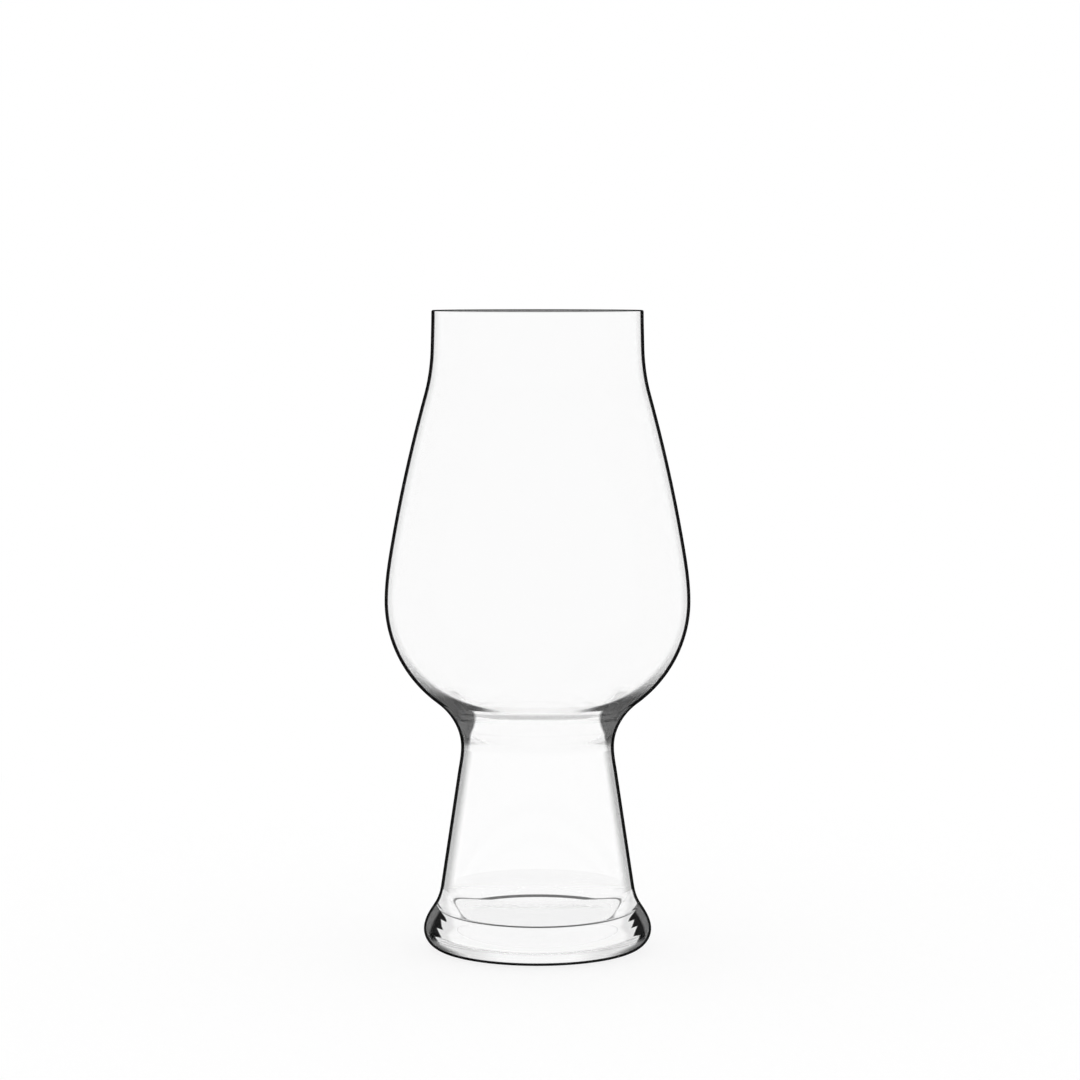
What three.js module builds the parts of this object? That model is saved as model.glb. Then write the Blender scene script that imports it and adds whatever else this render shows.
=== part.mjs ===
import * as THREE from 'three';

// A tall ale glass of three fused pieces of clear glass: bowl, stem and foot.
// Millimetres, +Z up. The glass turns about the Z axis and stands on z = 0.

// The three pieces stand on each other; together they make the full height of 183.1.
const FOOT_HEIGHT = 17.9;
const STEM_HEIGHT = 40.2;
const BOWL_HEIGHT = 125;

// Foot: a heavy disc with a rolled edge that sweeps up into the stem.
const FOOT_RADIUS = 32.75;
const FOOT_WIDEST_HEIGHT = 5.5;
const FLARE_RADIUS = 29.7;
const FLARE_HEIGHT = 12.5;
const FLARE_LEAN = 32.7;
const SOLE_OUTER_RADIUS = 27;
const SOLE_INNER_RADIUS = 23.5;
const PUNT_RISE = 2;
const FLOOR_THICKNESS = 9.6;
const FLOOR_CORNER_RADIUS = 26.4;
const FLOOR_FILLET = 1;
const FLOOR_DISH = 0.4;

// Stem: a hollow cone below a short curve that brings it upright at the waist.
const STEM_BASE_RADIUS = 27.8;
const STEM_TAPER_RADIUS = 22.9;
const STEM_TAPER_HEIGHT = 32.6;
const WAIST_RADIUS = 21.95;
const STEM_WALL = 1.4;

// Bowl, outside, each height counted from the waist.
const ROOT_RADIUS = 29.1;
const ROOT_HEIGHT = 13.1;
const ROOT_LEAN = -53.3;
const BELLY_RADIUS = 43.75;
const BELLY_HEIGHT = 42;
const SHOULDER_RADIUS = 42.1;
const SHOULDER_HEIGHT = 57.3;
const SHOULDER_LEAN = 9.6;
const COLLAR_RADIUS = 32.3;
const COLLAR_HEIGHT = 101.1;
const COLLAR_LEAN = 15.4;
const LIP_RADIUS = 30.4;
const LIP_HEIGHT = 115;
const LIP_LEAN = 1;
const RIM_RADIUS = 30.2;

// Bowl, inside. The wall grows from the lip to the belly and runs into a thick ring at the neck.
const RIM_WALL = 1;
const SHOULDER_WALL = 1.15;
const BELLY_WALL = 1.3;
const BOWL_FLOOR_RADIUS = 30.2;
const BOWL_FLOOR_HEIGHT = 16.8;
const BOWL_FLOOR_LEAN = -51.5;
const NECK_MOUTH_RADIUS = 24.2;
const NECK_MOUTH_HEIGHT = 12.9;
const NECK_MOUTH_LEAN = -63;
const NECK_RADIUS = 19.7;
const NECK_HEIGHT = 6;
const NECK_LEAN = 8;
const BORE_LEAN = 7;

const TURN_STEPS = 48;
const CHORD_ERROR = 0.05;

const stemZ = FOOT_HEIGHT;
const waistZ = stemZ + STEM_HEIGHT;
const rimZ = waistZ + BOWL_HEIGHT;
const taperRun = STEM_BASE_RADIUS - STEM_TAPER_RADIUS;
const STEM_LEAN = THREE.MathUtils.radToDeg(Math.atan2(taperRun, STEM_TAPER_HEIGHT));

// Slope at the edge of a shallow round dome of the given radius and rise, in degrees.
function domeLean(radius, rise) {
  return 2 * THREE.MathUtils.radToDeg(Math.atan2(rise, radius));
}

// A station is [radius, height, lean]. Its lean is the heading of the outline in degrees:
// 0 is straight down, 90 outward, -90 inward.
function heading(lean) {
  const angle = THREE.MathUtils.degToRad(lean);
  return new THREE.Vector2(Math.sin(angle), -Math.cos(angle));
}

// The points after one station up to the next, on a curve as round as an arc between the two headings.
function bend(from, to) {
  const start = new THREE.Vector2(from[0], from[1]);
  const end = new THREE.Vector2(to[0], to[1]);
  const turn = THREE.MathUtils.degToRad(Math.abs(to[2] - from[2]));
  const chord = start.distanceTo(end);
  const reach = chord / (3 * Math.cos(turn / 4) ** 2);
  const leave = heading(from[2]).multiplyScalar(reach).add(start);
  const arrive = heading(to[2]).multiplyScalar(-reach).add(end);
  const curve = new THREE.CubicBezierCurve(start, leave, arrive, end);
  const steps = turn * Math.sqrt(chord / (16 * CHORD_ERROR * Math.sin(turn / 2) || 1));
  return curve.getPoints(Math.max(1, Math.ceil(steps))).slice(1);
}

function outline(stations) {
  const points = [new THREE.Vector2(stations[0][0], stations[0][1])];
  for (let i = 1; i < stations.length; i += 1) {
    points.push(...bend(stations[i - 1], stations[i]));
  }
  return points;
}

const clearGlass = new THREE.MeshStandardMaterial({ color: '#eef2f3', roughness: 0.04, metalness: 0 });
clearGlass.name = 'clear_glass';

function turned(name, points) {
  const geometry = new THREE.LatheGeometry(points, TURN_STEPS);
  geometry.rotateX(Math.PI / 2);
  const mesh = new THREE.Mesh(geometry, clearGlass);
  mesh.name = name;
  return mesh;
}

// Stations shared by two pieces, where their walls run on without a step.
const seatOut = [STEM_BASE_RADIUS, stemZ, STEM_LEAN];
const seatIn = [STEM_BASE_RADIUS - STEM_WALL, stemZ, STEM_LEAN];
const waistOut = [WAIST_RADIUS, waistZ, 0];
const waistIn = [WAIST_RADIUS - STEM_WALL, waistZ, BORE_LEAN];

function makeBowl() {
  const crest = RIM_RADIUS - RIM_WALL / 2;
  const crestZ = rimZ - RIM_WALL / 2;
  const outside = outline([
    [crest, rimZ, 90],
    [RIM_RADIUS, crestZ, 0],
    [LIP_RADIUS, waistZ + LIP_HEIGHT, LIP_LEAN],
    [COLLAR_RADIUS, waistZ + COLLAR_HEIGHT, COLLAR_LEAN],
    [SHOULDER_RADIUS, waistZ + SHOULDER_HEIGHT, SHOULDER_LEAN],
    [BELLY_RADIUS, waistZ + BELLY_HEIGHT, 0],
    [ROOT_RADIUS, waistZ + ROOT_HEIGHT, ROOT_LEAN],
    waistOut,
  ]);
  const inside = outline([
    [crest, rimZ, -90],
    [RIM_RADIUS - RIM_WALL, crestZ, 0],
    [LIP_RADIUS - RIM_WALL, waistZ + LIP_HEIGHT, LIP_LEAN],
    [COLLAR_RADIUS - SHOULDER_WALL, waistZ + COLLAR_HEIGHT, COLLAR_LEAN],
    [SHOULDER_RADIUS - SHOULDER_WALL, waistZ + SHOULDER_HEIGHT, SHOULDER_LEAN],
    [BELLY_RADIUS - BELLY_WALL, waistZ + BELLY_HEIGHT, 0],
    [BOWL_FLOOR_RADIUS, waistZ + BOWL_FLOOR_HEIGHT, BOWL_FLOOR_LEAN],
    [NECK_MOUTH_RADIUS, waistZ + NECK_MOUTH_HEIGHT, NECK_MOUTH_LEAN],
    [NECK_RADIUS, waistZ + NECK_HEIGHT, NECK_LEAN],
    waistIn,
  ]);
  const loop = [...outside.reverse(), ...inside.slice(1)];
  return turned('bowl', [...loop, loop[0].clone()]);
}

function makeStem() {
  const taperZ = stemZ + STEM_TAPER_HEIGHT;
  const outside = outline([
    waistOut,
    [STEM_TAPER_RADIUS, taperZ, STEM_LEAN],
    seatOut,
  ]);
  const inside = outline([
    waistIn,
    [STEM_TAPER_RADIUS - STEM_WALL, taperZ, STEM_LEAN],
    seatIn,
  ]);
  const loop = [...outside.reverse(), ...inside];
  return turned('stem', [...loop, loop[0].clone()]);
}

function makeFoot() {
  const floorEdge = FLOOR_CORNER_RADIUS - FLOOR_FILLET;
  const outside = outline([
    seatOut,
    [FLARE_RADIUS, FLARE_HEIGHT, FLARE_LEAN],
    [FOOT_RADIUS, FOOT_WIDEST_HEIGHT, 0],
    [SOLE_OUTER_RADIUS, 0, -90],
  ]);
  const punt = outline([
    [SOLE_INNER_RADIUS, 0, -90 - domeLean(SOLE_INNER_RADIUS, PUNT_RISE)],
    [0, PUNT_RISE, -90],
  ]);
  const inside = outline([
    seatIn,
    [FLOOR_CORNER_RADIUS, FLOOR_THICKNESS + FLOOR_FILLET, 0],
    [floorEdge, FLOOR_THICKNESS, -90 + domeLean(floorEdge, FLOOR_DISH)],
    [0, FLOOR_THICKNESS - FLOOR_DISH, -90],
  ]);
  return turned('foot', [...punt.reverse(), ...outside.reverse(), ...inside]);
}

const glass = new THREE.Group();
glass.name = 'ipa_glass';
glass.add(makeBowl(), makeStem(), makeFoot());

export default glass;
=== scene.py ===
"""A tall clear ale glass standing in a white studio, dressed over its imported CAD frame."""

import logging
import math
from dataclasses import dataclass, field, replace
from enum import Enum
from typing import Any, Mapping, Sequence, Union

import bpy
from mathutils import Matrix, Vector


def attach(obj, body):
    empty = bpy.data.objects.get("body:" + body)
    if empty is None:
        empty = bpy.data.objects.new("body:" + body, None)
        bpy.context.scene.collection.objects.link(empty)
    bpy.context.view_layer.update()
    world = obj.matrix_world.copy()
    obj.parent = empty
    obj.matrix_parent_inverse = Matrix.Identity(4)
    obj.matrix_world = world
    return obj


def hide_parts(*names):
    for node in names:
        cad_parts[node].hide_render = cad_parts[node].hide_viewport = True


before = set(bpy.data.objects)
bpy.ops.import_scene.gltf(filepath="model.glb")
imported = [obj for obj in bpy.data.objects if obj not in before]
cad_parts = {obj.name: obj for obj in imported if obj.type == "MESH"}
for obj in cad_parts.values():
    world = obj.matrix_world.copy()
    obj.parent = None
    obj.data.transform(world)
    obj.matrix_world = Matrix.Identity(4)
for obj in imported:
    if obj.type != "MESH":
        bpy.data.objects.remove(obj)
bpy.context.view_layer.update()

LOG = logging.getLogger("ipa_glass")
MM = 0.001
ROOT_BODY = "root"
Feed = Union[bpy.types.Node, bpy.types.NodeSocket]

# Leans of an outline, degrees.
DOWN, OUTWARD, INWARD = 0.0, 90.0, -90.0
# Radii up to this one lie on the axis, mm.
ON_AXIS = 1e-6
# Least radius that a roundness is worked out for, mm.
LEAST_RADIUS = 0.01
# Least roundness that counts, per mm: flatter glass has no outline of its own.
FLATTEST = 0.004
# How much sooner a slanting wall takes the painted shade of its fringe than an upright one, as a power.
SLANT_POWER = 1.5
# Hollow shares above this one lie on the faces of the hollow itself.
HOLLOW_FACE = 0.9999
# Numbers of surfaces still to meet, halfway between whole ones so that a compare is safe.
NO_TURN = 0.5
FEW_TURNS = 2.5
MANY_TURNS = 3.5


class Face(Enum):
    """Which kind of surface a strip of the glass is; the value is its material index."""

    POLISHED = 0
    FUSED = 1


class Mark(Enum):
    """What is written on the mesh for the glass to read; the value is the attribute's name."""

    HOLLOW = "hollow"
    HOOP = "hoop"
    BEND = "bend"
    CREASE = "crease"


def linear(hex_colour: str) -> tuple[float, float, float, float]:
    """Turns an sRGB hex colour into a linear one.

    Args:
        hex_colour: Colour as "#rrggbb".

    Returns:
        Linear red, green, blue and an alpha of 1.
    """
    channels = [int(hex_colour[i:i + 2], 16) / 255 for i in (1, 3, 5)]
    red, green, blue = (
        c / 12.92 if c <= 0.04045 else ((c + 0.055) / 1.055) ** 2.4 for c in channels
    )
    return red, green, blue, 1.0


def add_node(
    tree: bpy.types.NodeTree,
    kind: str,
    inputs: Union[Mapping[Any, Any], Sequence[Any]] = (),
    **settings: Any,
) -> bpy.types.Node:
    """Adds one node with its settings and what goes into it.

    Args:
        tree: Node tree that gets the node.
        kind: Blender's type name of the node, after "ShaderNode".
        inputs: Values to set, or nodes or sockets to link, by input name or in order.
        settings: Properties of the node itself.

    Returns:
        The new node.
    """
    node = tree.nodes.new("ShaderNode" + kind)
    for name, value in settings.items():
        setattr(node, name, value)
    for key, value in inputs.items() if isinstance(inputs, Mapping) else enumerate(inputs):
        source = value.outputs[0] if isinstance(value, bpy.types.Node) else value
        if isinstance(source, bpy.types.NodeSocket):
            tree.links.new(source, node.inputs[key])
        else:
            node.inputs[key].default_value = source
    return node


def blank_tree(owner: Any) -> bpy.types.NodeTree:
    """Empties the node tree of a material or a world.

    Args:
        owner: The material or world.

    Returns:
        Its node tree, switched on.
    """
    owner.use_nodes = True
    owner.node_tree.nodes.clear()
    return owner.node_tree


@dataclass(frozen=True)
class Station:
    """A named place on a turned outline.

    Attributes:
        radius: Distance from the axis, mm.
        height: Height above the table, mm.
        lean: Heading of the outline, degrees: 0 down, 90 outward, -90 inward.
    """

    radius: float
    height: float
    lean: float

    def place(self) -> Vector:
        """Returns the station as a (radius, height) point."""
        return Vector((self.radius, self.height))

    def heading(self) -> Vector:
        """Returns the unit direction of the outline at the station."""
        angle = math.radians(self.lean)
        return Vector((math.sin(angle), -math.cos(angle)))


@dataclass(frozen=True)
class Strip:
    """A run of outline points, each with its normal, that is turned into one band of surface.

    Attributes:
        points: (radius, height) points in mm, in the order the surface is walked.
        normals: Outward (radius, height) normals at those points.
        face: Which material the band takes.
        hollow: Share of the radius that is hollow behind each point; none means all of it.
        bends: How tightly each step bends, per mm, above 0 where it bulges; none means straight.
    """

    points: tuple[Vector, ...]
    normals: tuple[Vector, ...]
    face: Face = Face.POLISHED
    hollow: tuple[float, ...] = ()
    bends: tuple[float, ...] = ()

    def turned_back(self) -> "Strip":
        """Turns the band round, so that it faces the other side.

        Returns:
            The same band walked the other way with its normals flipped.
        """
        return replace(
            self,
            points=tuple(reversed(self.points)),
            normals=tuple(-n for n in reversed(self.normals)),
            hollow=tuple(reversed(self.hollow)),
            bends=tuple(reversed(self.bends)),
        )

    def backed_by(self, inside: "Strip", solid: float) -> "Strip":
        """Works out how hollow the glass is behind an outer band.

        Args:
            inside: Band of the hollow, walked downward.
            solid: Share to write where no hollow lies behind the band.

        Returns:
            The same band with its hollow shares.
        """
        shares = []
        for point in self.points:
            inner = 0.0
            for above, below in zip(inside.points, inside.points[1:]):
                if below.y <= point.y <= above.y and above.y > below.y:
                    part = (point.y - below.y) / (above.y - below.y)
                    inner = max(inner, below.x + part * (above.x - below.x))
            shares.append(max(solid, min(inner / point.x, 1.0)) if point.x > 0 else solid)
        return replace(self, hollow=tuple(shares))


def swept(stations: Sequence[Station], chord_error: float) -> Strip:
    """Joins stations by curves as round as an arc between their headings.

    Args:
        stations: Places the outline goes through, in order.
        chord_error: Largest distance between curve and chord, mm.

    Returns:
        The strip along those curves, its normals on the outline's left.
    """
    points: list[Vector] = []
    normals: list[Vector] = []
    bends: list[float] = []
    for start, end in zip(stations, stations[1:]):
        a, d = start.place(), end.place()
        chord = (d - a).length
        turn = math.radians(abs(end.lean - start.lean))
        reach = chord / (3 * math.cos(turn / 4) ** 2)
        b = a + start.heading() * reach
        c = d - end.heading() * reach
        bow = 16 * chord_error * math.sin(turn / 2)
        steps = max(2, math.ceil(turn * math.sqrt(chord / bow))) if bow > 0 else 2
        for i in range(0 if not points else 1, steps + 1):
            t = i / steps
            u = 1 - t
            points.append(u ** 3 * a + 3 * u * u * t * b + 3 * u * t * t * c + t ** 3 * d)
            along = u * u * (b - a) + 2 * u * t * (c - b) + t * t * (d - c)
            along.normalize()
            normals.append(Vector((-along.y, along.x)))
        bends.extend([math.copysign(2 * math.sin(turn / 2) / chord, start.lean - end.lean)] * steps)
    return Strip(tuple(points), tuple(normals), bends=tuple(bends))


def flat_ring(start: Station, end: Station, face: Face) -> Strip:
    """Makes the level ring between two stations of one height.

    Args:
        start: Where the walk begins.
        end: Where it ends.
        face: Which material the ring takes.

    Returns:
        A strip of two points, facing down if it is walked inward and up if outward.
    """
    normal = Vector((0.0, -1.0 if end.radius < start.radius else 1.0))
    return Strip((start.place(), end.place()), (normal, normal), face)


@dataclass
class Lathe:
    """Turns strips about the Z axis and gathers the faces of one closed mesh.

    Attributes:
        segments: Steps round the axis.
        verts: Vertices so far, m.
        rings: Vertex numbers of the ring through each outline point, made once.
        faces: Vertex numbers of each face.
        normals: Exact normal at each face corner.
        marks: Numbers written at each face corner.
        materials: Material index of each face.
    """

    segments: int
    verts: list[tuple[float, float, float]] = field(default_factory=list)
    rings: dict[tuple[float, float], list[int]] = field(default_factory=dict)
    faces: list[tuple[int, ...]] = field(default_factory=list)
    normals: list[Vector] = field(default_factory=list)
    marks: dict[Mark, list[float]] = field(default_factory=lambda: {mark: [] for mark in Mark})
    materials: list[int] = field(default_factory=list)

    def swung(self, flat: Vector, step: int) -> Vector:
        """Returns a (radius, height) vector swung round the axis by some steps."""
        angle = 2 * math.pi * step / self.segments
        return Vector((flat.x * math.cos(angle), flat.x * math.sin(angle), flat.y))

    def ring(self, point: Vector) -> list[int]:
        """Gives the ring of vertices through an outline point.

        Args:
            point: (radius, height) in mm.

        Returns:
            One vertex number for each step; the same one all round on the axis.
        """
        key = (round(point.x, 5), round(point.y, 5))
        if key not in self.rings:
            first = len(self.verts)
            count = 1 if point.x < ON_AXIS else self.segments
            self.verts.extend(tuple(self.swung(point, step) * MM) for step in range(count))
            self.rings[key] = [first + step % count for step in range(self.segments)]
        return self.rings[key]

    def turn(self, strip: Strip) -> None:
        """Adds the band of faces that one strip makes.

        Args:
            strip: Outline to turn; it begins where the one before it ended.
        """
        for k in range(len(strip.points) - 1):
            upper, lower = self.ring(strip.points[k]), self.ring(strip.points[k + 1])
            for j in range(self.segments):
                i = (j + 1) % self.segments
                corners = [(upper[j], k, j), (lower[j], k + 1, j), (lower[i], k + 1, i), (upper[i], k, i)]
                if upper[j] == upper[i]:
                    corners.pop()
                elif lower[j] == lower[i]:
                    corners.pop(2)
                self.faces.append(tuple(vertex for vertex, _, _ in corners))
                self.materials.append(strip.face.value)
                self.normals.extend(self.swung(strip.normals[end], step) for _, end, step in corners)
                for _, end, _ in corners:
                    self.mark(strip, k, end)

    def mark(self, strip: Strip, step: int, end: int) -> None:
        """Writes the numbers of one face corner.

        Args:
            strip: Outline the corner lies on.
            step: Which step of the outline the face is.
            end: Which point of the outline the corner is.
        """
        normal = strip.normals[end]
        bend = strip.bends[step] if strip.bends else 0.0
        self.marks[Mark.HOLLOW].append(strip.hollow[end] if strip.hollow else 1.0)
        self.marks[Mark.HOOP].append(abs(normal.x) / max(strip.points[end].x, LEAST_RADIUS))
        self.marks[Mark.BEND].append(bend)
        self.marks[Mark.CREASE].append(abs(2 * normal.x * normal.y * bend))

    def mesh(self, name: str) -> bpy.types.Mesh:
        """Makes the mesh of all bands turned so far.

        Args:
            name: Name of the mesh.

        Returns:
            The mesh, in metres.
        """
        mesh = bpy.data.meshes.new(name)
        mesh.from_pydata(self.verts, [], self.faces)
        mesh.polygons.foreach_set("material_index", self.materials)
        mesh.polygons.foreach_set("use_smooth", [True] * len(self.faces))
        mesh.normals_split_custom_set(self.normals)
        for mark, numbers in self.marks.items():
            mesh.attributes.new(mark.value, "FLOAT", "CORNER").data.foreach_set("value", numbers)
        mesh.update()
        return mesh


@dataclass(frozen=True)
class Sight:
    """What a spot of glass knows about the light that leaves it: feeds inside one material.

    Attributes:
        tree: Node tree of the material.
        place: Position in the frame, mm.
        radius: Distance from the axis, mm.
        inset: How far inside the outline of the piece the light leaves, mm.
        aside: How far inside the side of its own ring round the axis the light leaves, mm, counted
            short where the glass slants.
        around: How much the light runs round the axis, 0 to 1.
        turns: How many surfaces the light still meets on its way out.
        hollow: Share of the radius that is hollow behind the spot; 1 on the faces of the hollow.
        crease: How tightly a slanting spot bends, per mm.
    """

    tree: bpy.types.NodeTree
    place: Feed
    radius: Feed
    inset: Feed
    aside: Feed
    around: Feed
    turns: Feed
    hollow: Feed
    crease: Feed

    @classmethod
    def into(cls, tree: bpy.types.NodeTree) -> "Sight":
        """Adds the nodes that the edges of a glass are worked out from.

        Args:
            tree: Node tree of the material.

        Returns:
            Their feeds.
        """
        metres = add_node(tree, "TexCoord").outputs["Object"]
        place = add_node(tree, "VectorMath", {0: metres, "Scale": 1 / MM}, operation="SCALE")
        spoke = add_node(tree, "VectorMath", (place, (1.0, 1.0, 0.0)), operation="MULTIPLY")
        radius = add_node(tree, "VectorMath", (spoke,), operation="LENGTH").outputs["Value"]
        sideways = add_node(tree, "VectorMath", (spoke, (0.0, 0.0, 1.0)), operation="CROSS_PRODUCT")
        tangent = add_node(tree, "VectorMath", (sideways,), operation="NORMALIZE")
        off = add_node(tree, "LayerWeight", {"Blend": 0.5, "Normal": tangent}).outputs["Facing"]
        around = add_node(tree, "Math", (1.0, off), operation="SUBTRACT")
        beside = add_node(tree, "Math", (off, radius), operation="MULTIPLY")
        hoop = add_node(tree, "Attribute", attribute_name=Mark.HOOP.value).outputs["Fac"]
        upright = add_node(tree, "Math", (hoop, radius), operation="MULTIPLY")
        shorter = add_node(tree, "Math", (upright, SLANT_POWER), operation="POWER")
        return cls(
            tree=tree,
            place=place,
            radius=radius,
            inset=cls.depth_inside(tree, around, hoop),
            aside=add_node(tree, "Math", (beside, shorter), operation="MULTIPLY"),
            around=around,
            turns=add_node(tree, "LightPath").outputs["Ray Depth"],
            hollow=add_node(tree, "Attribute", attribute_name=Mark.HOLLOW.value).outputs["Fac"],
            crease=add_node(tree, "Attribute", attribute_name=Mark.CREASE.value).outputs["Fac"],
        )

    @staticmethod
    def depth_inside(tree: bpy.types.NodeTree, around: Feed, hoop: Feed) -> bpy.types.Node:
        """Adds how far inside the outline the light leaves.

        That follows from how squarely it leaves and from how round the glass is that way: as a
        hoop where it runs round the axis, and as the turned outline where it runs along it.

        Args:
            tree: Node tree of the material.
            around: How much the light runs round the axis.
            hoop: How tightly the glass bends round the axis, per mm.

        Returns:
            Node of the depth, mm.
        """
        graze = add_node(tree, "LayerWeight", {"Blend": 0.5}).outputs["Facing"]
        square = add_node(tree, "Math", (1.0, graze), operation="SUBTRACT")
        squared = add_node(tree, "Math", (square, 2.0), operation="POWER")
        hoopways = add_node(tree, "Math", (around, 2.0), operation="POWER")
        slanting = add_node(tree, "Math", (1.0, squared), operation="SUBTRACT")
        lengthways = add_node(tree, "Math", (slanting, hoopways), operation="SUBTRACT")
        bend = add_node(tree, "Attribute", attribute_name=Mark.BEND.value).outputs["Fac"]
        tighter = add_node(tree, "Math", (bend, hoop), operation="SUBTRACT")
        roundness = add_node(tree, "Math", (lengthways, tighter, hoop), operation="MULTIPLY_ADD")
        least = add_node(tree, "Math", (roundness, FLATTEST), operation="MAXIMUM")
        doubled = add_node(tree, "Math", (least, 2.0), operation="MULTIPLY")
        return add_node(tree, "Math", (squared, doubled), operation="DIVIDE")


@dataclass(frozen=True)
class GlassFinish:
    """How one piece of clear glass was worked, and so how its surface looks, with the shade painted along
    its edges.

    Attributes:
        name: Name of the material.
        tint: Colour left in light that has gone through the piece, sRGB hex.
        wave_mm: Length of the slow waves left by the working of the hot glass, mm.
        wave_height_mm: Height of those waves, mm.
        line_mm: Width of the painted black line along the outline, mm.
        line_soft_mm: Part of that width over which it fades, mm.
        line_loss: Share of painted shade in the line.
        fringe_mm: How far the painted grey fringe of a thin wall fades out past the wall, mm.
        fringe_loss: Share of painted shade in that fringe.
        ring_mm: How far the fringe fades out where the wall is as thick as a ring, mm.
        ring_loss: Share of painted shade in the fringe of such a ring.
        ring_shares: Shares of the radius at which a wall begins to be a ring, and is one.
        sides: How much light must run round the axis for the fringe to begin, and to be full.
        crease_from: How tightly the glass must bend to get painted shade there, per mm.
        crease_full: How tightly it must bend to get all its painted shade, per mm.
        crease_loss: Share of painted shade where the glass bends so tightly.
        leak: Share of the light that gets out at each of many bounces.
        ior: Refractive index.
        roughness: Micro-roughness of the fire-polished skin.
    """

    name: str
    tint: str
    wave_mm: float
    wave_height_mm: float
    line_mm: float = 1.15
    line_soft_mm: float = 0.35
    line_loss: float = 0.99
    fringe_mm: float = 1.6
    fringe_loss: float = 0.14
    ring_mm: float = 0.7
    ring_loss: float = 0.85
    ring_shares: tuple[float, float] = (0.03, 0.11)
    sides: tuple[float, float] = (0.3, 0.6)
    crease_from: float = 0.35
    crease_full: float = 0.7
    crease_loss: float = 0.9
    leak: float = 0.3
    ior: float = 1.52
    roughness: float = 0.0

    def material(self) -> bpy.types.Material:
        """Builds the clear glass.

        Returns:
            The material.
        """
        material = bpy.data.materials.new(self.name)
        tree = blank_tree(material)
        sight = Sight.into(tree)
        path = add_node(tree, "LightPath").outputs
        # Painted shade: transparent black, mixed in over the edges, outline and tight bends of the glass.
        lost, free, shade = (
            add_node(tree, "BsdfTransparent", {"Color": linear(tint)})
            for tint in ("#000000", "#ffffff", "#fafafa")
        )
        floor_light = add_node(
            tree, "Math", (path["Is Shadow Ray"], path["Is Diffuse Ray"]), operation="MAXIMUM"
        )
        dimmed = add_node(tree, "MixShader", (self.painted_edge_shade(sight), self.clear_glass(sight), lost))
        leaking = add_node(tree, "MixShader", (self.leaked(sight), dimmed, free))
        passed = add_node(tree, "MixShader", (floor_light, leaking, shade))
        add_node(tree, "OutputMaterial", {"Surface": passed})
        return material

    def clear_glass(self, sight: Sight) -> bpy.types.Node:
        """Adds the glass itself, with the slow waves of its skin.

        Args:
            sight: Feeds of the material.

        Returns:
            Node of its shader.
        """
        waves = add_node(
            sight.tree, "TexNoise",
            {"Vector": sight.place, "Scale": 1 / self.wave_mm, "Detail": 1.0, "Roughness": 0.4},
        )
        skin = add_node(
            sight.tree, "Bump", {"Strength": 1.0, "Distance": self.wave_height_mm * MM, "Height": waves}
        )
        return add_node(
            sight.tree, "BsdfPrincipled",
            {
                "Base Color": linear(self.tint),
                "Roughness": self.roughness,
                "IOR": self.ior,
                "Transmission Weight": 1.0,
                "Normal": skin,
            },
        )

    def painted_edge_shade(self, sight: Sight) -> bpy.types.Node:
        """Adds the share of painted shade at the edges of a glass.

        The room is white all round, so the dark lines along a glass are painted shade: a share of
        transparent black along the outline, in the wall seen edge on and in tight bends, standing in
        for the dark room beside a lit background.

        Args:
            sight: Feeds of the material.

        Returns:
            Node of the share, 0 to 1.
        """
        tree = sight.tree
        outside = add_node(tree, "Math", (sight.hollow, HOLLOW_FACE), operation="LESS_THAN")
        last = add_node(tree, "Math", (sight.turns, NO_TURN), operation="LESS_THAN")
        shown = add_node(tree, "Math", (outside, last), operation="MULTIPLY")
        lost = add_node(tree, "Math", (self.painted_outside_shade(sight), shown), operation="MULTIPLY")
        return add_node(tree, "Math", (lost, self.painted_crease_shade(sight)), operation="MAXIMUM")

    def painted_outside_shade(self, sight: Sight) -> bpy.types.Node:
        """Adds the painted shade on the outside: the black line along the outline and the grey fringe of
        the wall.

        Args:
            sight: Feeds of the material.

        Returns:
            Node of the painted shade.
        """
        full = self.line_mm - self.line_soft_mm
        line = add_node(
            sight.tree, "MapRange",
            {"Value": sight.inset, "From Min": self.line_mm, "From Max": full, "To Max": self.line_loss},
            interpolation_type="SMOOTHSTEP",
        )
        return add_node(sight.tree, "Math", (line, self.fringe(sight)), operation="MAXIMUM")

    def fringe(self, sight: Sight) -> bpy.types.Node:
        """Adds painted shade in the wall where it is seen edge on; the thicker the wall, the darker.

        Args:
            sight: Feeds of the material.

        Returns:
            Node of the loss.
        """
        tree = sight.tree
        thin_share, ring_share = self.ring_shares
        side_from, side_full = self.sides
        share = add_node(tree, "Math", (1.0, sight.hollow), operation="SUBTRACT")
        wall = add_node(tree, "Math", (share, sight.radius), operation="MULTIPLY")
        fade, loss = (
            add_node(
                tree, "MapRange",
                {
                    "Value": share, "From Min": thin_share, "From Max": ring_share,
                    "To Min": thin, "To Max": thick,
                },
                interpolation_type="SMOOTHSTEP",
            )
            for thin, thick in ((self.fringe_mm, self.ring_mm), (self.fringe_loss, self.ring_loss))
        )
        inner = add_node(tree, "Math", (wall, fade), operation="ADD")
        depth = add_node(tree, "Math", (sight.inset, sight.aside), operation="MINIMUM")
        beside = add_node(
            tree, "MapRange",
            {"Value": sight.around, "From Min": side_from, "From Max": side_full, "To Max": loss},
            interpolation_type="SMOOTHSTEP",
        )
        return add_node(
            tree, "MapRange",
            {"Value": depth, "From Min": inner, "From Max": wall, "To Max": beside},
            interpolation_type="SMOOTHSTEP",
        )

    def leaked(self, sight: Sight) -> bpy.types.Node:
        """Adds the share of much-bounced light that gets out, since a render follows few bounces.

        Args:
            sight: Feeds of the material.

        Returns:
            Node of the share.
        """
        often = add_node(sight.tree, "Math", (sight.turns, MANY_TURNS), operation="GREATER_THAN")
        return add_node(sight.tree, "Math", (often, self.leak), operation="MULTIPLY")

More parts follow.
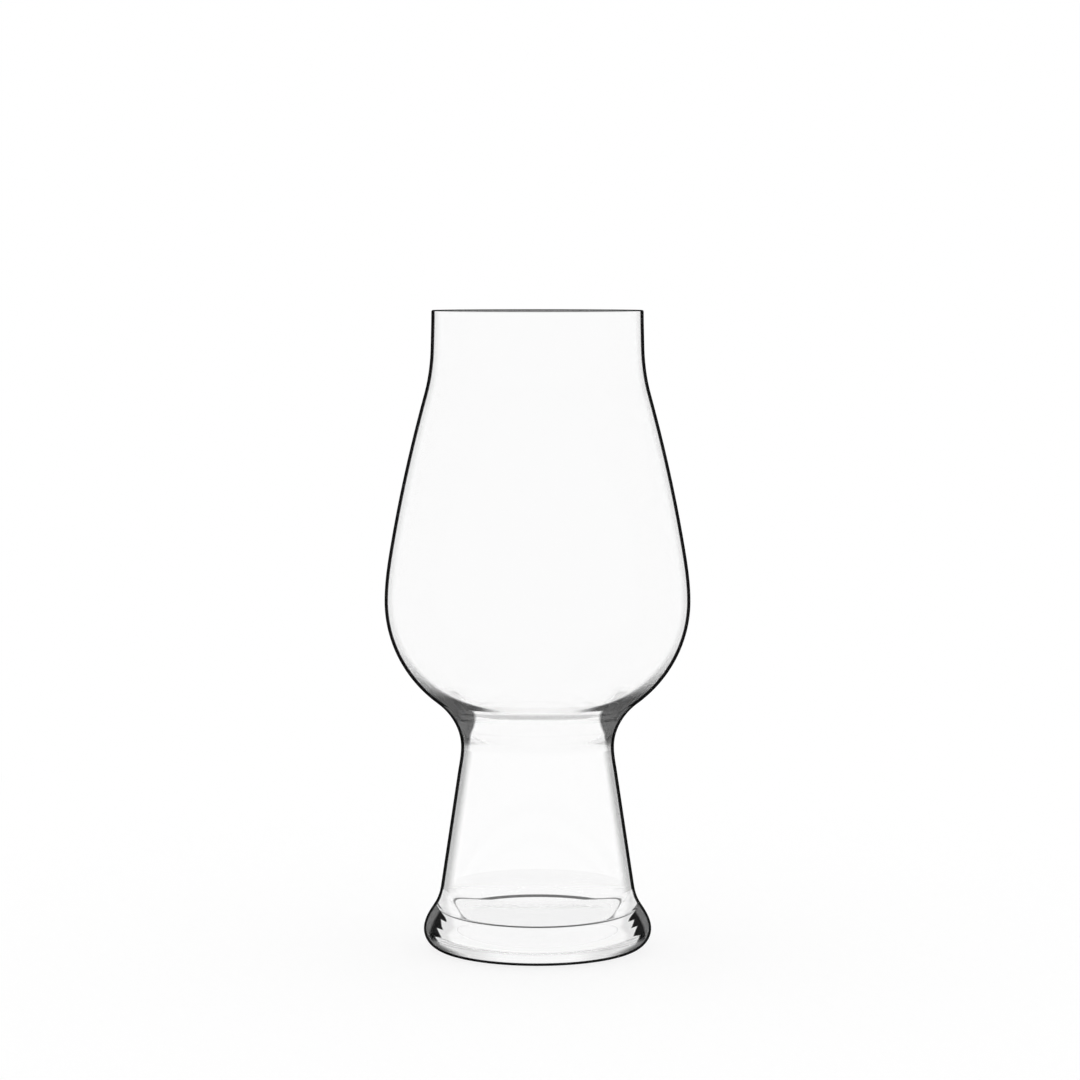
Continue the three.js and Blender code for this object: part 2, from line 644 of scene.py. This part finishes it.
    def painted_crease_shade(self, sight: Sight) -> bpy.types.Node:
        """Adds painted shade in tight bends.

        Args:
            sight: Feeds of the material.

        Returns:
            Node of the painted shade.
        """
        near = add_node(sight.tree, "Math", (sight.turns, FEW_TURNS), operation="LESS_THAN")
        loss = add_node(sight.tree, "Math", (near, self.crease_loss), operation="MULTIPLY")
        return add_node(
            sight.tree, "MapRange",
            {
                "Value": sight.crease, "From Min": self.crease_from, "From Max": self.crease_full,
                "To Max": loss,
            },
            interpolation_type="SMOOTHSTEP",
        )


@dataclass(frozen=True)
class HeavyFinish(GlassFinish):
    """Thick glass whose sides get a painted dark band with a toothed edge, standing in for the dark of a
    room.

    Attributes:
        band_from: How much light must run round the axis to show the painted dark band, 0 to 1.
        band_soft: How far its edge fades, as a share like band_from.
        band_foot_mm: Heights between which the band softens into a painted soft shade, going down, mm.
        band_top_mm: Heights between which the band tapers off, going up, mm.
        band_loss: Share of painted shade in the band.
        tooth_mm: Length of the teeth along its edge, mm.
        tooth_depth: How far the teeth reach, as a share like band_from.
        tooth_stray: How far the teeth stray up or down, in teeth.
        tooth_squeeze: How fast they stray along each axis: slowly round the foot, fast upward.
        strip_from: How much light must run round the axis to show the painted grey strip outside the
            band.
        strip_loss: Share of painted shade in that strip.
        shade_from: How much light must run round the axis to show the painted soft shade.
        shade_mm: Width of the painted soft shade, mm.
        shade_loss: Share of painted shade in the soft shade at the outline.
    """

    band_from: float = 0.85
    band_soft: float = 0.012
    band_foot_mm: tuple[float, float] = (5.4, 3.6)
    band_top_mm: tuple[float, float] = (10.8, 14.85)
    band_loss: float = 0.985
    tooth_mm: float = 2.5
    tooth_depth: float = 0.055
    tooth_stray: float = 1.5
    tooth_squeeze: tuple[float, float, float] = (0.1, 0.1, 0.5)
    strip_from: float = 0.93
    strip_loss: float = 0.83
    shade_from: float = 0.5
    shade_mm: float = 3.8
    shade_loss: float = 0.82

    def painted_outside_shade(self, sight: Sight) -> bpy.types.Node:
        """Adds the painted dark band, and the painted soft shade below it, to the painted shade on the
        outside.

        Args:
            sight: Feeds of the material.

        Returns:
            Node of the whole painted shade on the outside.
        """
        tree = sight.tree
        height = add_node(tree, "SeparateXYZ", (sight.place,)).outputs["Z"]
        foot_from, foot_to = self.band_foot_mm
        low = add_node(
            tree, "MapRange",
            {"Value": height, "From Min": foot_from, "From Max": foot_to},
            interpolation_type="SMOOTHSTEP",
        )
        beside = add_node(
            tree, "MapRange",
            {
                "Value": sight.around, "From Min": self.shade_from, "From Max": self.band_from,
                "To Max": self.shade_loss,
            },
            interpolation_type="SMOOTHSTEP",
        )
        shade = add_node(
            tree, "MapRange",
            {"Value": sight.inset, "From Min": self.shade_mm, "From Max": self.line_mm, "To Max": beside},
            interpolation_type="SMOOTHSTEP",
        )
        # Painted shade: the toothed dark band higher up, the soft shade at the outline lower down.
        lost = add_node(tree, "Mix", {0: low, 2: self.painted_toothed_band(sight, height), 3: shade})
        return add_node(tree, "Math", (super().painted_outside_shade(sight), lost), operation="MAXIMUM")

    def painted_toothed_band(self, sight: Sight, height: Feed) -> bpy.types.Node:
        """Adds the painted shade in the band and in the grey strip between it and the outline.

        Args:
            sight: Feeds of the material.
            height: Height above the table, mm.

        Returns:
            Node of the loss.
        """
        edge = self.toothed_edge(sight, height)
        full = add_node(sight.tree, "Math", (edge, self.band_soft), operation="ADD")
        loss = add_node(
            sight.tree, "MapRange",
            {
                "Value": sight.around,
                "From Min": self.strip_from - self.band_soft,
                "From Max": self.strip_from + self.band_soft,
                "To Min": self.band_loss,
                "To Max": self.strip_loss,
            },
            interpolation_type="SMOOTHSTEP",
        )
        return add_node(
            sight.tree, "MapRange",
            {"Value": sight.around, "From Min": edge, "From Max": full, "To Max": loss},
        )

    def toothed_edge(self, sight: Sight, height: Feed) -> bpy.types.Node:
        """Adds the inner edge of the painted dark band: teeth that reach inward and break off below.

        Args:
            sight: Feeds of the material.
            height: Height above the table, mm.

        Returns:
            Node of how much light runs round the axis at that edge.
        """
        tree = sight.tree
        pace = 1 / self.tooth_mm
        top_from, top_to = self.band_top_mm
        levels = add_node(tree, "VectorMath", (sight.place, self.tooth_squeeze), operation="MULTIPLY")
        stray = add_node(tree, "TexNoise", {"Vector": levels, "Scale": pace, "Detail": 0.0})
        strayed = add_node(tree, "Math", (stray, self.tooth_stray), operation="MULTIPLY")
        count = add_node(tree, "Math", (height, pace, strayed), operation="MULTIPLY_ADD")
        tooth = add_node(tree, "Math", (count,), operation="FRACT")
        least = self.band_from - self.tooth_depth / 2
        edge = add_node(tree, "Math", (tooth, self.tooth_depth, least), operation="MULTIPLY_ADD")
        taper = add_node(
            tree, "MapRange",
            {
                "Value": height, "From Min": top_from, "From Max": top_to,
                "To Max": 1.0 - self.band_from,
            },
            interpolation_type="SMOOTHSTEP",
        )
        return add_node(tree, "Math", (edge, taper), operation="ADD")


def fused_seam() -> bpy.types.Material:
    """Builds the melted joint between two pieces, through which light goes unbent.

    Returns:
        The material.
    """
    material = bpy.data.materials.new("fused_glass_seam")
    tree = blank_tree(material)
    clear = add_node(tree, "BsdfTransparent", {"Color": linear("#ffffff")})
    add_node(tree, "OutputMaterial", {"Surface": clear})
    return material


# Blown into a mould and fire-polished: a skin without grain, with slow waves that hardly bend an edge.
BLOWN = GlassFinish(
    "blown_crystal_glass_fire_polished", tint="#fdfdfd", wave_mm=30.0, wave_height_mm=0.006,
)
# Drawn hollow from the bowl: the waves are shorter and run deeper where the glass was pulled.
DRAWN = GlassFinish(
    "drawn_crystal_glass_fire_polished", tint="#fefefe", wave_mm=14.0, wave_height_mm=0.006,
    # Painted shade: a wider, darker grey fringe along its sides.
    fringe_mm=2.6, fringe_loss=0.33,
)
# Pressed thick and fire-polished: its faint grey is partly the tint of the glass itself and partly
# painted shade for the dark under the foot seen through it; it also takes a heavier painted line and
# fringe.
PRESSED = HeavyFinish(
    "pressed_crystal_glass_fire_polished", tint="#f8f8f8", wave_mm=9.0, wave_height_mm=0.008,
    line_mm=1.0, fringe_loss=0.19, ring_mm=1.6, ring_loss=0.19, leak=0.8,
)


@dataclass(kw_only=True)
class FusedPiece:
    """One piece of the glass, turned about the Z axis. Sizes in mm, leans in degrees.

    Attributes:
        node: The CAD node that the piece stands for.
        slot: Name of the material slot; not used.
        finish: How its glass was worked.
        chord_error: Largest distance between a curve and its chords.
        segments: Steps round the axis.
    """

    node: str
    slot: str
    finish: GlassFinish
    chord_error: float = 0.004
    segments: int = 192

    def strips(self) -> list[Strip]:
        """Returns the bands of surface of the piece in walking order."""
        raise NotImplementedError

    def build(self, seam: bpy.types.Material) -> bpy.types.Object:
        """Makes the piece, dresses it and seats it in the frame.

        Args:
            seam: Material of the melted joints.

        Returns:
            The finished object.
        """
        lathe = Lathe(self.segments)
        for strip in self.strips():
            lathe.turn(strip)
        mesh = lathe.mesh(self.node + "_glass")
        mesh.materials.append(self.finish.material())
        mesh.materials.append(seam)
        piece = bpy.data.objects.new(self.node + "_glass", mesh)
        bpy.context.scene.collection.objects.link(piece)
        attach(piece, ROOT_BODY)
        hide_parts(self.node)
        return piece


@dataclass(kw_only=True)
class Stem(FusedPiece):
    """The hollow flared stem between foot and bowl. Its taper's height counts from its base."""

    node: str = "stem"
    slot: str = "stem_glass"
    finish: GlassFinish = DRAWN
    base_height: float = 17.9
    height: float = 40.2
    base_radius: float = 27.8
    taper_radius: float = 22.9
    taper_height: float = 32.6
    waist_radius: float = 21.95
    wall: float = 1.4
    bore_lean: float = 7.0

    @property
    def top(self) -> float:
        """Height of the waist."""
        return self.base_height + self.height

    @property
    def lean(self) -> float:
        """Lean of the stem's cone, degrees."""
        return math.degrees(math.atan2(self.base_radius - self.taper_radius, self.taper_height))

    def seat(self) -> tuple[Station, Station]:
        """Returns the outer and inner station where the stem meets the foot."""
        outer = Station(self.base_radius, self.base_height, self.lean)
        return outer, Station(self.base_radius - self.wall, self.base_height, self.lean)

    def waist(self) -> tuple[Station, Station]:
        """Returns the outer and inner station where the bowl meets the stem."""
        outer = Station(self.waist_radius, self.top, DOWN)
        return outer, Station(self.waist_radius - self.wall, self.top, self.bore_lean)

    def strips(self) -> list[Strip]:
        """Walks round the wall of the stem, from the waist down and back up inside.

        Returns:
            Its bands of surface.
        """
        seat_out, seat_in = self.seat()
        waist_out, waist_in = self.waist()
        taper_height = self.base_height + self.taper_height
        taper_out = Station(self.taper_radius, taper_height, self.lean)
        taper_in = Station(self.taper_radius - self.wall, taper_height, self.lean)
        outside = swept([waist_out, taper_out, seat_out], self.chord_error)
        inside = swept([waist_in, taper_in, seat_in], self.chord_error)
        return [
            outside.backed_by(inside, 0.0),
            flat_ring(seat_out, seat_in, Face.FUSED),
            inside.turned_back(),
            flat_ring(waist_in, waist_out, Face.FUSED),
        ]


@dataclass(kw_only=True)
class Foot(FusedPiece):
    """The heavy pressed foot with its rolled edge and the floor of the hollow.

    Its heights count from the table. The solid share is what stands for the hollow below the floor.
    """

    stem: Stem
    node: str = "foot"
    slot: str = "foot_glass"
    finish: GlassFinish = PRESSED
    radius: float = 32.75
    widest_height: float = 5.5
    flare_radius: float = 29.7
    flare_height: float = 12.5
    flare_lean: float = 32.7
    sole_outer_radius: float = 27.0
    sole_inner_radius: float = 23.5
    punt_rise: float = 2.0
    floor_thickness: float = 9.6
    floor_corner_radius: float = 26.4
    floor_fillet: float = 1.0
    floor_dish: float = 0.4
    solid_share: float = 0.82

    def outside(self, sole: Station) -> Strip:
        """Draws the outside from the stem over the rolled edge to the sole.

        Args:
            sole: Outer edge of the flat ring that the glass stands on.

        Returns:
            The band.
        """
        seat, _ = self.stem.seat()
        flare = Station(self.flare_radius, self.flare_height, self.flare_lean)
        widest = Station(self.radius, self.widest_height, DOWN)
        return swept([seat, flare, widest, sole], self.chord_error)

    def inside(self) -> Strip:
        """Draws the hollow from the stem over the rounded corner to the middle of the floor.

        Returns:
            The band, walked downward.
        """
        _, seat = self.stem.seat()
        edge = self.floor_corner_radius - self.floor_fillet
        dish_lean = 2 * math.degrees(math.atan2(self.floor_dish, edge))
        corner = Station(self.floor_corner_radius, self.floor_thickness + self.floor_fillet, DOWN)
        rim = Station(edge, self.floor_thickness, INWARD + dish_lean)
        middle = Station(0.0, self.floor_thickness - self.floor_dish, INWARD)
        return swept([seat, corner, rim, middle], self.chord_error)

    def strips(self) -> list[Strip]:
        """Walks round the foot, from the stem down, under the sole and back up inside.

        Returns:
            Its bands of surface.
        """
        seat_out, seat_in = self.stem.seat()
        punt_lean = 2 * math.degrees(math.atan2(self.punt_rise, self.sole_inner_radius))
        sole_out = Station(self.sole_outer_radius, 0.0, INWARD)
        sole_in = Station(self.sole_inner_radius, 0.0, INWARD - punt_lean)
        inside = self.inside()
        return [
            self.outside(sole_out).backed_by(inside, self.solid_share),
            flat_ring(sole_out, sole_in, Face.POLISHED),
            swept([sole_in, Station(0.0, self.punt_rise, INWARD)], self.chord_error),
            inside.turned_back(),
            flat_ring(seat_in, seat_out, Face.FUSED),
        ]


@dataclass(kw_only=True)
class Bowl(FusedPiece):
    """The thin blown bowl with its straight lip, its belly and the thick ring of the neck.

    Its heights count from the waist.
    """

    stem: Stem
    node: str = "bowl"
    slot: str = "bowl_glass"
    finish: GlassFinish = BLOWN
    height: float = 125.0
    root_radius: float = 29.1
    root_height: float = 13.1
    root_lean: float = -53.3
    belly_radius: float = 43.75
    belly_height: float = 42.0
    shoulder_radius: float = 42.1
    shoulder_height: float = 57.3
    shoulder_lean: float = 9.6
    collar_radius: float = 32.3
    collar_height: float = 101.1
    collar_lean: float = 15.4
    lip_radius: float = 30.4
    lip_height: float = 115.0
    lip_lean: float = 1.0
    rim_radius: float = 30.2
    rim_wall: float = 1.0
    shoulder_wall: float = 1.15
    belly_wall: float = 1.3
    floor_radius: float = 30.2
    floor_height: float = 16.8
    floor_lean: float = -51.5
    neck_mouth_radius: float = 24.2
    neck_mouth_height: float = 12.9
    neck_mouth_lean: float = -63.0
    neck_radius: float = 19.7
    neck_height: float = 6.0
    neck_lean: float = 8.0

    def above_waist(self, radius: float, height: float, lean: float) -> Station:
        """Returns the station at a height above the waist."""
        return Station(radius, self.stem.top + height, lean)

    def outside(self) -> Strip:
        """Draws the outside from the crest of the rim down to the waist.

        Returns:
            The band.
        """
        waist, _ = self.stem.waist()
        round_over = self.rim_wall / 2
        return swept(
            [
                self.above_waist(self.rim_radius - round_over, self.height, OUTWARD),
                self.above_waist(self.rim_radius, self.height - round_over, DOWN),
                self.above_waist(self.lip_radius, self.lip_height, self.lip_lean),
                self.above_waist(self.collar_radius, self.collar_height, self.collar_lean),
                self.above_waist(self.shoulder_radius, self.shoulder_height, self.shoulder_lean),
                self.above_waist(self.belly_radius, self.belly_height, DOWN),
                self.above_waist(self.root_radius, self.root_height, self.root_lean),
                waist,
            ],
            self.chord_error,
        )

    def inside(self) -> Strip:
        """Draws the hollow from the crest of the rim over the bowl's floor into the neck.

        Returns:
            The band, walked downward.
        """
        _, waist = self.stem.waist()
        round_over = self.rim_wall / 2
        collar = self.collar_radius - self.shoulder_wall
        shoulder = self.shoulder_radius - self.shoulder_wall
        return swept(
            [
                self.above_waist(self.rim_radius - round_over, self.height, INWARD),
                self.above_waist(self.rim_radius - self.rim_wall, self.height - round_over, DOWN),
                self.above_waist(self.lip_radius - self.rim_wall, self.lip_height, self.lip_lean),
                self.above_waist(collar, self.collar_height, self.collar_lean),
                self.above_waist(shoulder, self.shoulder_height, self.shoulder_lean),
                self.above_waist(self.belly_radius - self.belly_wall, self.belly_height, DOWN),
                self.above_waist(self.floor_radius, self.floor_height, self.floor_lean),
                self.above_waist(self.neck_mouth_radius, self.neck_mouth_height, self.neck_mouth_lean),
                self.above_waist(self.neck_radius, self.neck_height, self.neck_lean),
                waist,
            ],
            self.chord_error,
        )

    def strips(self) -> list[Strip]:
        """Walks round the wall of the bowl, from the rim down and back up inside.

        Returns:
            Its bands of surface.
        """
        waist_out, waist_in = self.stem.waist()
        inside = self.inside()
        return [
            self.outside().backed_by(inside, 0.0),
            flat_ring(waist_out, waist_in, Face.FUSED),
            inside.turned_back(),
        ]


@dataclass
class Studio:
    """White surroundings, a pale floor and the camera just below the height of the rim.

    Attributes:
        camera_height: Height of the camera above the table, mm.
        camera_distance: Distance of the camera in front of the axis, mm.
        camera_aside: How far the camera stands to the right, mm.
        camera_pitch: How far it looks down, degrees.
        lens: Focal length, mm.
        sensor: Width of the sensor, mm.
        near_clip: Nearest distance the camera sees, mm.
        floor_size: Side of the floor, m.
        floor_drop: How far the floor lies below the sole, so that the two don't flicker, mm.
        floor_near: Distance from the glass at which the floor begins to fade, m.
        floor_far: Distance at which it is as white as the backdrop, m.
    """

    camera_height: float = 177.1
    camera_distance: float = 880.0
    camera_aside: float = 0.71
    camera_pitch: float = 3.874
    lens: float = 102.82
    sensor: float = 36.0
    near_clip: float = 10.0
    floor_size: float = 8.0
    floor_drop: float = 0.2
    floor_near: float = 0.12
    floor_far: float = 0.4

    def light(self) -> None:
        """Lights the room: white all round, as bright as the paper the glass stands on."""
        world = bpy.data.worlds.new("white_studio")
        bpy.context.scene.world = world
        tree = blank_tree(world)
        room = add_node(tree, "Background", {"Color": linear("#ffffff"), "Strength": 1.0})
        add_node(tree, "OutputWorld", {"Surface": room})

    def floor(self) -> None:
        """Lays the pale floor: matt under the glass, fading into the white backdrop."""
        half = self.floor_size / 2
        mesh = bpy.data.meshes.new("floor")
        mesh.from_pydata(
            [(-half, -half, 0.0), (half, -half, 0.0), (half, half, 0.0), (-half, half, 0.0)],
            [], [(0, 1, 2, 3)],
        )
        floor = bpy.data.objects.new("floor", mesh)
        floor.location.z = -self.floor_drop * MM
        floor.visible_transmission = False
        floor.visible_glossy = False
        bpy.context.scene.collection.objects.link(floor)
        mesh.materials.append(self.paper())

    def paper(self) -> bpy.types.Material:
        """Builds the floor's paper, a dead matt white that takes a soft shadow.

        Returns:
            The material.
        """
        material = bpy.data.materials.new("matt_white_paper_sweep")
        tree = blank_tree(material)
        place = add_node(tree, "TexCoord").outputs["Object"]
        reach = add_node(tree, "VectorMath", (place,), operation="LENGTH").outputs["Value"]
        fade = add_node(
            tree, "MapRange",
            {"Value": reach, "From Min": self.floor_near, "From Max": self.floor_far},
            interpolation_type="SMOOTHSTEP",
        )
        paper = add_node(tree, "BsdfDiffuse", {"Color": linear("#ffffff")})
        glow = add_node(tree, "Emission", {"Color": linear("#ffffff"), "Strength": 1.0})
        sweep = add_node(tree, "MixShader", (fade, paper, glow))
        add_node(tree, "OutputMaterial", {"Surface": sweep})
        return material

    def camera(self) -> None:
        """Sets the camera just below the level of the rim, looking a little down."""
        data = bpy.data.cameras.new("camera")
        data.sensor_width = self.sensor
        data.lens = self.lens
        data.clip_start = self.near_clip * MM
        camera = bpy.data.objects.new("camera", data)
        camera.location = (self.camera_aside * MM, -self.camera_distance * MM, self.camera_height * MM)
        camera.rotation_euler = (math.radians(90 - self.camera_pitch), 0.0, 0.0)
        bpy.context.scene.collection.objects.link(camera)
        bpy.context.scene.camera = camera
        bpy.context.scene.view_settings.view_transform = "Standard"


def main() -> None:
    """Builds the glass and the studio round it."""
    logging.basicConfig(level=logging.INFO)
    seam = fused_seam()
    stem = Stem()
    for piece in (stem, Foot(stem=stem), Bowl(stem=stem)):
        glass = piece.build(seam)
        LOG.info("%s: %d faces", glass.name, len(glass.data.polygons))
    studio = Studio()
    studio.light()
    studio.floor()
    studio.camera()


if __name__ == "__main__":
    main()
